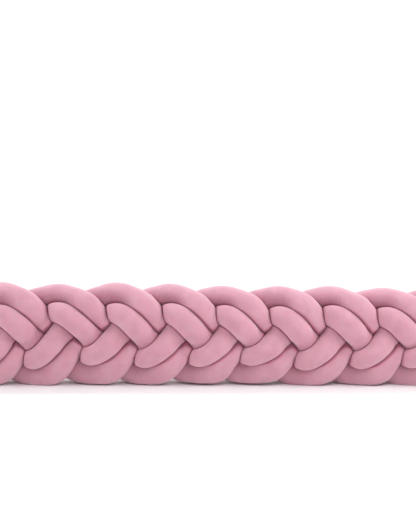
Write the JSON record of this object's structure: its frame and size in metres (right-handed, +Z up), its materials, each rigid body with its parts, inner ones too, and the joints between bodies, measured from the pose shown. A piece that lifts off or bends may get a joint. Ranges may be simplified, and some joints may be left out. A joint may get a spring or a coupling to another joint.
{
  "type": "crib bumper",
  "caption": "Plaited crib bumper of paired stuffed velour tubes, standing on its lower edge, with plain gathered ends.",
  "frame": {"origin": "on the floor under the middle of the plait", "axes": "+X along the bumper, +Z up, -Y towards the inside of the crib"},
  "size_m": [1.2104, 0.0908, 0.1625],
  "materials": {
    "velour": "soft pink velour, short pile with pale rims"
  },
  "bodies": {
    "root": {"first_upper_tube": "velour", "first_lower_tube": "velour", "second_upper_tube": "velour", "second_lower_tube": "velour", "third_upper_tube": "velour", "third_lower_tube": "velour"}
  },
  "joints": []
}
